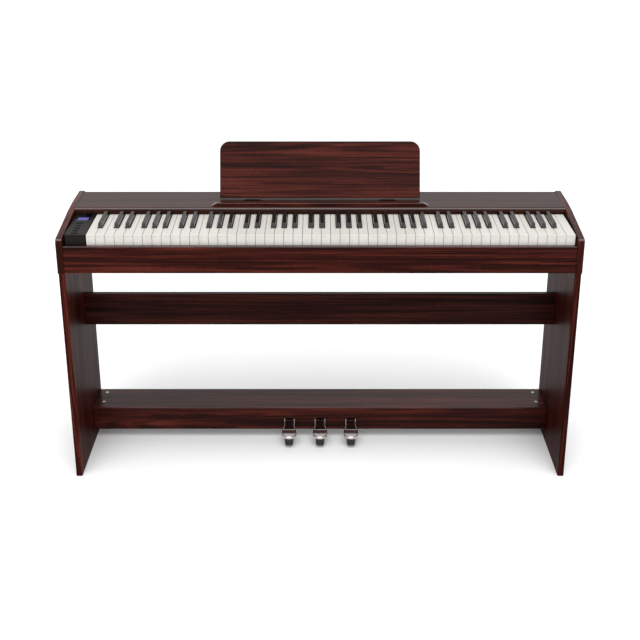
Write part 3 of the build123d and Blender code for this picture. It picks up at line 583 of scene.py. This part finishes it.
class Workshop:
    """Makes each finish once and dresses pieces in it."""

    def __init__(self) -> None:
        """Starts with nothing made."""
        self.made: dict[str, bpy.types.Material] = {}

    def material(self, finish: object) -> bpy.types.Material:
        """The material of a finish, made on first use.

        Args:
            finish: any finish with a name and a build method.

        Returns:
            Its material.
        """
        if finish.name not in self.made:
            self.made[finish.name] = finish.build()
        return self.made[finish.name]

    def dress(self, piece: bpy.types.Object, finish: object) -> None:
        """Puts a finish on a piece and smooths its curved faces.

        Args:
            piece: a mesh object.
            finish: the finish.
        """
        material = self.material(finish)
        if not piece.material_slots:
            piece.data.materials.append(material)
        for slot in piece.material_slots:
            slot.material = material
        piece.data.polygons.foreach_set("use_smooth", [True] * len(piece.data.polygons))
        piece.data.set_sharp_from_angle(angle=CURVE_ANGLE)

    def dress_nodes(self, nodes: Iterable[str], finish: object) -> None:
        """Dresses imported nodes.

        Args:
            nodes: their names.
            finish: the finish.
        """
        for node in nodes:
            self.dress(frame["nodes"][node], finish)
            log.info("%s wears %s", node, finish.name)


# Mesh making


class Mesh:
    """A mesh in the making, in metres and in the row frame."""

    # A screw head's outline, as shares of its radius and rise, and its cross recess likewise
    HEAD_OUTLINE = ((0.0, 0.0), (1.0, 0.0), (0.97, 0.45), (0.80, 0.85), (0.62, 1.0))
    HEAD_STEPS = 24
    RECESS_REACH = 0.52
    RECESS_WAIST = 0.45
    RECESS_FLOOR = 0.25

    def __init__(self) -> None:
        """Starts an empty mesh."""
        self.bm = bmesh.new()

    def lathe(
        self,
        profile: Sequence[tuple[float, float]],
        matrix: Matrix,
        steps: int = 32,
        radius_at: Callable[[int, float], float] | None = None,
    ) -> None:
        """Turns a profile about the local Z axis.

        Args:
            profile: radius and height of each ring; a zero radius closes it.
            matrix: where it stands.
            steps: points round each ring.
            radius_at: changes a ring's radius from the step's number, for knurls.
        """
        rings: list[list[bmesh.types.BMVert]] = []
        for radius, height in profile:
            if radius == 0.0:
                rings.append([self.bm.verts.new(matrix @ Vector((0.0, 0.0, height)))])
                continue
            ring = []
            for step in range(steps):
                angle = 2 * math.pi * step / steps
                size = radius_at(step, radius) if radius_at else radius
                spot = Vector((size * math.cos(angle), size * math.sin(angle), height))
                ring.append(self.bm.verts.new(matrix @ spot))
            rings.append(ring)
        for lower, upper in zip(rings, rings[1:]):
            self.bridge(lower, upper)

    def bridge(self, lower: list[bmesh.types.BMVert], upper: list[bmesh.types.BMVert]) -> None:
        """Joins two rings, either of which may be a single point.

        Args:
            lower: the first ring.
            upper: the second ring.
        """
        count = max(len(lower), len(upper))
        for step in range(count):
            after = (step + 1) % count
            corners = [
                lower[step % len(lower)],
                lower[after % len(lower)],
                upper[after % len(upper)],
                upper[step % len(upper)],
            ]
            unique = list(dict.fromkeys(corners))
            if len(unique) > 2:
                self.bm.faces.new(unique)

    def tube(self, points: Sequence[Vector], radius: float, sides: int = 10) -> None:
        """Sweeps a round section along points.

        Args:
            points: the centre line.
            radius: the section's radius.
            sides: points round it.
        """
        rings = []
        for index, point in enumerate(points):
            before = points[max(index - 1, 0)]
            after = points[min(index + 1, len(points) - 1)]
            turn = (after - before).to_track_quat("Z", "X")
            ring = []
            for side in range(sides):
                angle = 2 * math.pi * side / sides
                spot = Vector((radius * math.cos(angle), radius * math.sin(angle), 0.0))
                ring.append(self.bm.verts.new(point + turn @ spot))
            rings.append(ring)
        for lower, upper in zip(rings, rings[1:]):
            self.bridge(lower, upper)
        self.bm.faces.new(list(reversed(rings[0])))
        self.bm.faces.new(rings[-1])

    def screw_head(self, centre: Vector, facing: Vector, radius: float, rise: float) -> None:
        """A domed head with a cross recess.

        Args:
            centre: middle of the seat.
            facing: the way the head looks.
            radius: the head's radius.
            rise: how far it stands up.
        """
        matrix = Matrix.Translation(centre) @ facing.to_track_quat("Z", "Y").to_matrix().to_4x4()
        outline = [(radius * across, rise * up) for across, up in self.HEAD_OUTLINE]
        self.lathe(outline, matrix, self.HEAD_STEPS)
        rim = list(self.bm.verts)[-self.HEAD_STEPS:]
        inner = []
        for step in range(self.HEAD_STEPS):
            angle = 2 * math.pi * step / self.HEAD_STEPS
            arm = abs(math.cos(2 * angle)) ** 3
            size = radius * self.RECESS_REACH * (self.RECESS_WAIST + (1.0 - self.RECESS_WAIST) * arm)
            spot = Vector((size * math.cos(angle), size * math.sin(angle), rise))
            inner.append(self.bm.verts.new(matrix @ spot))
        self.bridge(rim, inner)
        floor = self.bm.verts.new(matrix @ Vector((0.0, 0.0, rise * self.RECESS_FLOOR)))
        self.bridge(inner, [floor])

    def piece(self, name: str, body: str, slot: str) -> bpy.types.Object:
        """Turns the mesh into a piece that rides on a body.

        Args:
            name: the piece's name.
            body: the body that it moves with.
            slot: the record's material slot; not used.

        Returns:
            The new object.
        """
        bmesh.ops.recalc_face_normals(self.bm, faces=self.bm.faces)
        mesh = bpy.data.meshes.new(name)
        self.bm.to_mesh(mesh)
        self.bm.free()
        thing = bpy.data.objects.new(name, mesh)
        bpy.context.scene.collection.objects.link(thing)
        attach(thing, body)
        return thing


# Finishes of this piano

CHEEK_WOOD = WoodLaminate(
    "cheek_wood", Grain.ALONG_Y, edged=Facing.FRONT_AND_BACK, offset=(0.0, 0.7, 0.2)
)
PANEL_WOOD = WoodLaminate(
    "side_panel_wood", Grain.ALONG_Z, offset=(0.0, 0.3, 1.4), roughness=0.36, ior=1.075
)
SLIP_WOOD = WoodLaminate(
    "slip_wood", Grain.ALONG_X, offset=(3.1, 0.0, 0.4), flat_gloss=1.0,
    middle=(0.020, 0.0034, 0.0022), red=(0.048, 0.0078, 0.0050),
)
LID_WOOD = WoodLaminate(
    "lid_wood", Grain.ALONG_X, offset=(1.7, 0.5, 0.0), flat_gloss=0.42,
    dark=(0.014, 0.0052, 0.0036), middle=(0.023, 0.0080, 0.0054), red=(0.036, 0.0110, 0.0074),
    light=(0.048, 0.0150, 0.0100),
)
REST_WOOD = WoodLaminate("rest_wood", Grain.ALONG_X, offset=(5.3, 0.2, 0.9), ior=1.15, flat_gloss=0.8)
SHELF_WOOD = WoodLaminate("shelf_wood", Grain.ALONG_X, offset=(8.9, 0.6, 0.3), ior=1.15, flat_gloss=0.4)
STRETCHER_WOOD = WoodLaminate(
    "stretcher_wood", Grain.ALONG_X, offset=(2.3, 0.9, 0.1), ior=1.12,
    dark=(0.006, 0.0014, 0.0010), middle=(0.015, 0.0030, 0.0022), red=(0.030, 0.0060, 0.0042),
    light=(0.044, 0.0105, 0.0070),
)
BACK_BOARD = WoodLaminate(
    "back_board", Grain.ALONG_X, offset=(4.4, 0.1, 0.6), roughness=0.5,
    middle=(0.020, 0.008, 0.006), red=(0.030, 0.012, 0.009), light=(0.045, 0.018, 0.013),
)
IVORY = KeyPlastic("ivory_plastic", (0.615, 0.598, 0.565), (0.565, 0.545, 0.505), 0.22, 1.3, 23.5 * MM)
EBONY = KeyPlastic("ebony_plastic", (0.006, 0.0055, 0.0055), (0.010, 0.0092, 0.009), 0.18, 1.4, 13.7 * MM)
PANEL_PLASTIC = MouldedPlastic(
    "panel_plastic", (0.0080, 0.0074, 0.0066), (0.0125, 0.0118, 0.0104), 0.30, ior=1.17
)
CONTROL_PLASTIC = MouldedPlastic(
    "control_plastic", (0.0015, 0.0015, 0.0020), (0.0030, 0.0030, 0.0040), 0.26, ior=1.1
)
BROWN_CAPS = MouldedPlastic("brown_caps", (0.016, 0.005, 0.004), (0.024, 0.009, 0.007), 0.4, ior=1.15)
RUBBER = MouldedPlastic(
    "stop_rubber", (0.008, 0.008, 0.008), (0.016, 0.016, 0.015), 0.6, texture=700.0, depth=0.0001
)
SPEAKER_PAINT = MouldedPlastic("speaker_paint", (0.010, 0.010, 0.010), (0.018, 0.018, 0.018), 0.5)
CHROME = Metal(
    "pedal_chrome", (0.56, 0.54, 0.53), (0.50, 0.48, 0.47), 0.08,
    brushing=(1.0, 0.05, 1.0), spread=0.03, depth=0.000002,
)
ZINC = Metal("zinc_plate", (0.62, 0.62, 0.61), (0.48, 0.48, 0.48), 0.26)
BRACKET_STEEL = Metal("bracket_steel", (0.50, 0.50, 0.51), (0.36, 0.36, 0.37), 0.32)
HINGE_STEEL = Metal("hinge_bronze", (0.060, 0.048, 0.042), (0.035, 0.028, 0.026), 0.38)
RED_FELT = Felt("red_felt", (0.20, 0.012, 0.014), (0.34, 0.035, 0.035))
GREEN_BOARD = CircuitBoard("circuit_board", (0.006, 0.055, 0.020), (0.020, 0.13, 0.05))


@dataclass
class Case:
    """Cheeks, lid, slip, bottom and back, with the speakers and connectors in them."""

    workshop: Workshop
    back_screw_columns: int = 6
    back_screw_inset: float = 30 * MM
    back_screw_radius: float = 3.6 * MM
    plate_screw_radius: float = 2.4 * MM
    screw_rise: float = 1.1 * MM

    def build(self) -> None:
        """Dresses the case and adds its screws."""
        shop = self.workshop
        shop.dress_nodes(["left_cheek", "right_cheek"], CHEEK_WOOD)
        shop.dress_nodes(["key_slip"], SLIP_WOOD)
        shop.dress_nodes(["top_lid"], LID_WOOD)
        shop.dress_nodes(["bottom_board", "rear_panel"], BACK_BOARD)
        shop.dress_nodes(["speaker_grilles", "speakers"], SPEAKER_PAINT)
        shop.dress_nodes(["jack_plate", "jack_sockets"], PANEL_PLASTIC)
        self.back_screws()
        self.plate_screws()

    def back_screws(self) -> None:
        """Two rows of screws that hold the rear panel."""
        low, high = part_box("rear_panel")
        span = high.x - low.x - 2 * self.back_screw_inset
        backward = Vector((0, 1, 0))
        mesh = Mesh()
        for column in range(self.back_screw_columns):
            x = low.x + self.back_screw_inset + span * column / (self.back_screw_columns - 1)
            for z in (low.z + self.back_screw_inset / 3, high.z - self.back_screw_inset / 3):
                seat = Vector((x, high.y, z))
                mesh.screw_head(seat, backward, self.back_screw_radius, self.screw_rise)
        self.workshop.dress(mesh.piece("rear_panel_screws", "case", "fastener_steel"), ZINC)

    def plate_screws(self) -> None:
        """Four screws at the corners of the connector plate."""
        low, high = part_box("jack_plate")
        inset = 3 * self.plate_screw_radius
        backward = Vector((0, 1, 0))
        mesh = Mesh()
        for x in (low.x + inset, high.x - inset):
            for z in (low.z + inset, high.z - inset):
                seat = Vector((x, high.y, z))
                mesh.screw_head(seat, backward, self.plate_screw_radius, self.screw_rise)
        self.workshop.dress(mesh.piece("jack_plate_screws", "case", "fastener_steel"), ZINC)


@dataclass
class Keyboard:
    """The keys and the action under them."""

    workshop: Workshop

    def build(self) -> None:
        """Dresses the keys and the action."""
        shop = self.workshop
        keys = [node for node in sorted(frame["nodes"]) if node.startswith("key_") and node.endswith("_4")]
        sharps = [node for node in keys if "sharp" in node]
        shop.dress_nodes(["outer_white_keys", *(node for node in keys if node not in sharps)], IVORY)
        shop.dress_nodes(["outer_black_keys", *sharps], EBONY)
        shop.dress_nodes(["key_frame", "key_pivot_rod"], ZINC)
        shop.dress_nodes(["key_felt"], RED_FELT)
        shop.dress_nodes(["contact_board"], GREEN_BOARD)


@dataclass
class ControlPanel:
    """The black panel at the left of the keys."""

    workshop: Workshop
    lit_margin: float = 3.2 * MM
    knurls: int = 30
    knurl_depth: float = 0.035
    ring_steps: int = 120
    knob_gap: float = 0.6 * MM
    shaft_radius: float = 3.0 * MM
    buttons: int = 5

    def build(self) -> None:
        """Dresses the panel and makes its knob and display."""
        shop = self.workshop
        shop.dress_nodes(["control_panel"], PANEL_PLASTIC)
        shop.dress_nodes([f"button_{number + 1}" for number in range(self.buttons)], CONTROL_PLASTIC)
        shop.dress_nodes(["main_board"], GREEN_BOARD)
        low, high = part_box("display_window")
        centre = (low + high) / 2
        size = high - low
        lit = (size.x - 2 * self.lit_margin, size.y - 2 * self.lit_margin)
        shop.dress_nodes(["display_window"], LitDisplay("lit_display", (centre.x, centre.y), lit))
        self.knob()

    def knob(self) -> None:
        """A knurled knob with a dished top, in place of the plain one."""
        low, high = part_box("volume_knob")
        radius = (high.x - low.x) / 2
        centre = Vector(((low.x + high.x) / 2, (low.y + high.y) / 2, 0.0))
        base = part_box("control_panel")[1].z + self.knob_gap
        height = high.z - base

        def knurled(step: int, size: float) -> float:
            """Dips the grip between its ribs."""
            rib = 0.5 + 0.5 * math.cos(2 * math.pi * self.knurls * step / self.ring_steps)
            return size * (1.0 - self.knurl_depth * (1.0 - rib))

        mesh = Mesh()
        # Radius and height of each ring: a straight wall, a rounded rim and a shallow dish
        grip = [
            (0.0, 0.0), (radius * 0.94, 0.0), (radius, height * 0.06), (radius, height * 0.84),
            (radius * 0.95, height * 0.95), (radius * 0.84, height), (radius * 0.70, height * 0.985),
            (radius * 0.30, height * 0.95), (0.0, height * 0.94),
        ]
        mesh.lathe(grip, Matrix.Translation(centre + Vector((0, 0, base))), self.ring_steps, knurled)
        stem = [(0.0, low.z), (self.shaft_radius, low.z), (self.shaft_radius, base), (0.0, base)]
        mesh.lathe(stem, Matrix.Translation(centre))
        knob = mesh.piece("knob_grip", "volume_knob", "control_plastic")
        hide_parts("volume_knob")
        self.workshop.dress(knob, CONTROL_PLASTIC)


@dataclass
class MusicRest:
    """The folding rest, its ledge and its two hinges."""

    workshop: Workshop
    hinge_spacing: float = 360 * MM
    leaf: float = 1.2 * MM
    screw_size: tuple[float, float] = (2.2 * MM, 0.45 * MM)
    screw_row: float = 7.6 * MM
    screw_spread: float = 0.66

    def build(self) -> None:
        """Dresses the rest and adds the hinge screws."""
        shop = self.workshop
        shop.dress_nodes(["music_rest", "rest_ledge"], REST_WOOD)
        shop.dress_nodes(["hinge_fixed_leaves", "hinge_moving_leaves", "hinge_pins"], HINGE_STEEL)
        joint = next(joint for joint in frame["joints"] if joint["child"] == "music_rest")
        half_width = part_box("hinge_pins")[1].x - self.hinge_spacing / 2
        row_y = joint["pos_m"][1] + self.screw_row
        lid_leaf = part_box("top_lid")[1].z + self.leaf
        rest_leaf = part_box("music_rest")[0].z - self.leaf
        fixed = Mesh()
        moving = Mesh()
        for centre_x in (-self.hinge_spacing / 2, self.hinge_spacing / 2):
            for side in (-1, 1):
                x = centre_x + side * half_width * self.screw_spread
                fixed.screw_head(Vector((x, row_y, lid_leaf)), Vector((0, 0, 1)), *self.screw_size)
                moving.screw_head(Vector((x, row_y, rest_leaf)), Vector((0, 0, -1)), *self.screw_size)
        shop.dress(fixed.piece("hinge_screws_lid", "case", "hinge_steel"), HINGE_STEEL)
        shop.dress(moving.piece("hinge_screws_rest", "music_rest", "hinge_steel"), HINGE_STEEL)


@dataclass
class Stand:
    """Side panels, stretcher and shelf."""

    workshop: Workshop

    def build(self) -> None:
        """Dresses the stand."""
        shop = self.workshop
        shop.dress_nodes(["left_side_panel", "right_side_panel"], PANEL_WOOD)
        shop.dress_nodes(["stretcher"], STRETCHER_WOOD)
        shop.dress_nodes(["shelf_top", "pedal_front_board", "shelf_cleats"], SHELF_WOOD)
        shop.dress_nodes(["shelf_screws", "stand_bolts"], ZINC)
        shop.dress_nodes(["cam_fittings"], BROWN_CAPS)


@dataclass
class PedalSet:
    """Three chrome pedals, their rubber stops, springs, shaft and bracket."""

    workshop: Workshop
    names: tuple[str, ...] = ("left", "middle", "right")
    wire: float = 0.7 * MM
    coil_radius: float = 5.2 * MM
    coil_turns: int = 3
    coil_gap: float = 0.25 * MM
    coil_steps: int = 24

    def build(self) -> None:
        """Dresses the pedals and winds their springs."""
        shop = self.workshop
        shop.dress_nodes([f"pedal_{name}" for name in self.names], CHROME)
        shop.dress_nodes([f"pedal_stop_{name}" for name in self.names], RUBBER)
        shop.dress_nodes(["pedal_bracket", "pedal_shaft"], BRACKET_STEEL)
        self.springs()

    def springs(self) -> None:
        """Wound return springs in place of the plain rings."""
        low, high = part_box("pedal_springs")
        y = (low.y + high.y) / 2
        z = (low.z + high.z) / 2
        joints = [joint for joint in frame["joints"] if joint["child"].endswith("_pedal")]
        reach = (high.x - low.x) / 2 - max(abs(joint["pos_m"][0]) for joint in joints)
        length = self.coil_turns * (2 * self.wire + self.coil_gap)
        mesh = Mesh()
        for joint in joints:
            for side in (-1, 1):
                start = joint["pos_m"][0] + side * (reach - self.wire)
                points = []
                for step in range(self.coil_turns * self.coil_steps + 1):
                    angle = 2 * math.pi * step / self.coil_steps
                    x = start - side * length * step / (self.coil_turns * self.coil_steps)
                    across = self.coil_radius * math.cos(angle)
                    points.append(Vector((x, y + across, z + self.coil_radius * math.sin(angle))))
                mesh.tube(points, self.wire)
        coils = mesh.piece("wound_springs", "case", "bracket_steel")
        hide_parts("pedal_springs")
        self.workshop.dress(coils, ZINC)


@dataclass
class Studio:
    """Pale floor, soft light and the camera."""

    workshop: Workshop
    floor_half: float = 40.0
    camera_place: tuple[float, float, float] = (0.0, -2.7739, 1.657)
    camera_tilt: float = 20.98
    lens: float = 63.36
    sensor_width: float = 36.0
    shift_y: float = -0.1097
    view_length: float = 200.0
    floor_drop: float = 0.2 * MM
    # Strength of the surround, and strength, direction and edge of its two brighter parts
    surround: float = 0.30
    behind: float = 0.45
    behind_direction: tuple[float, float, float] = (0.0, 0.94, 0.34)
    behind_edge: tuple[float, float] = (0.55, 0.92)
    overhead: float = 0.7
    overhead_direction: tuple[float, float, float] = (0.0, -0.2, 0.98)
    overhead_edge: tuple[float, float] = (0.55, 0.95)
    # Name, strength, spread and tilt of each lamp, the last two in degrees
    softboxes: tuple[tuple[str, float, float, float], ...] = (
        ("key_softbox", 2.1, 50.0, 22.0),
        ("front_softbox", 1.5, 60.0, 74.0),
    )

    def build(self) -> None:
        """Makes the floor, lights and camera."""
        self.floor()
        self.world()
        self.lights()
        self.camera()

    def floor(self) -> None:
        """A wide floor, level with the feet."""
        bpy.ops.mesh.primitive_plane_add(size=2 * self.floor_half, location=(0, 0, -self.floor_drop))
        floor = bpy.context.object
        floor.name = "studio_floor"
        floor.data.materials.append(self.workshop.material(PaleFloor()))

    def world(self) -> None:
        """A soft grey surround, brighter overhead and behind, and plain white to look at."""
        world = bpy.data.worlds.new("studio_world")
        tree = NodeTree(world)
        facing = tree.add("ShaderNodeTexCoord", out="Generated")
        above = tree.soft_step(tree.dot(facing, self.overhead_direction), *self.overhead_edge)
        back = tree.soft_step(tree.dot(facing, self.behind_direction), *self.behind_edge)
        light = above * self.overhead + back * self.behind + self.surround
        seen = tree.add("ShaderNodeLightPath", out="Is Camera Ray")
        shown = tree.math("MAXIMUM", seen, light)
        background = tree.nodes.new("ShaderNodeBackground")
        output = tree.nodes.new("ShaderNodeOutputWorld")
        tree.feed(background.inputs["Strength"], shown)
        tree.links.new(background.outputs[0], output.inputs["Surface"])
        background.inputs["Color"].default_value = (1.0, 1.0, 1.0, 1.0)
        bpy.context.scene.world = world

    def lights(self) -> None:
        """Very broad lights, tilted from overhead towards the player's side."""
        for name, strength, spread, tilt in self.softboxes:
            sun = bpy.data.lights.new(name, "SUN")
            sun.energy = strength
            sun.angle = math.radians(spread)
            lamp = bpy.data.objects.new(name, sun)
            lamp.rotation_euler = (math.radians(tilt), 0.0, 0.0)
            bpy.context.scene.collection.objects.link(lamp)

    def camera(self) -> None:
        """The camera in front of the keys, looking down at them."""
        data = bpy.data.cameras.new("camera")
        data.lens = self.lens
        data.sensor_width = self.sensor_width
        data.shift_y = self.shift_y
        data.clip_end = self.view_length
        camera = bpy.data.objects.new("camera", data)
        camera.location = self.camera_place
        camera.rotation_euler = (math.radians(90 - self.camera_tilt), 0.0, 0.0)
        bpy.context.scene.collection.objects.link(camera)
        bpy.context.scene.camera = camera
        bpy.context.scene.view_settings.view_transform = "Standard"


def main() -> None:
    """Builds every sub-assembly in order."""
    logging.basicConfig(level=logging.INFO, format="%(name)s: %(message)s")
    workshop = Workshop()
    assemblies = (
        Studio(workshop),
        Case(workshop),
        Keyboard(workshop),
        ControlPanel(workshop),
        MusicRest(workshop),
        Stand(workshop),
        PedalSet(workshop),
    )
    for assembly in assemblies:
        assembly.build()
        log.info("built %s", type(assembly).__name__)


if __name__ == "__main__":
    main()
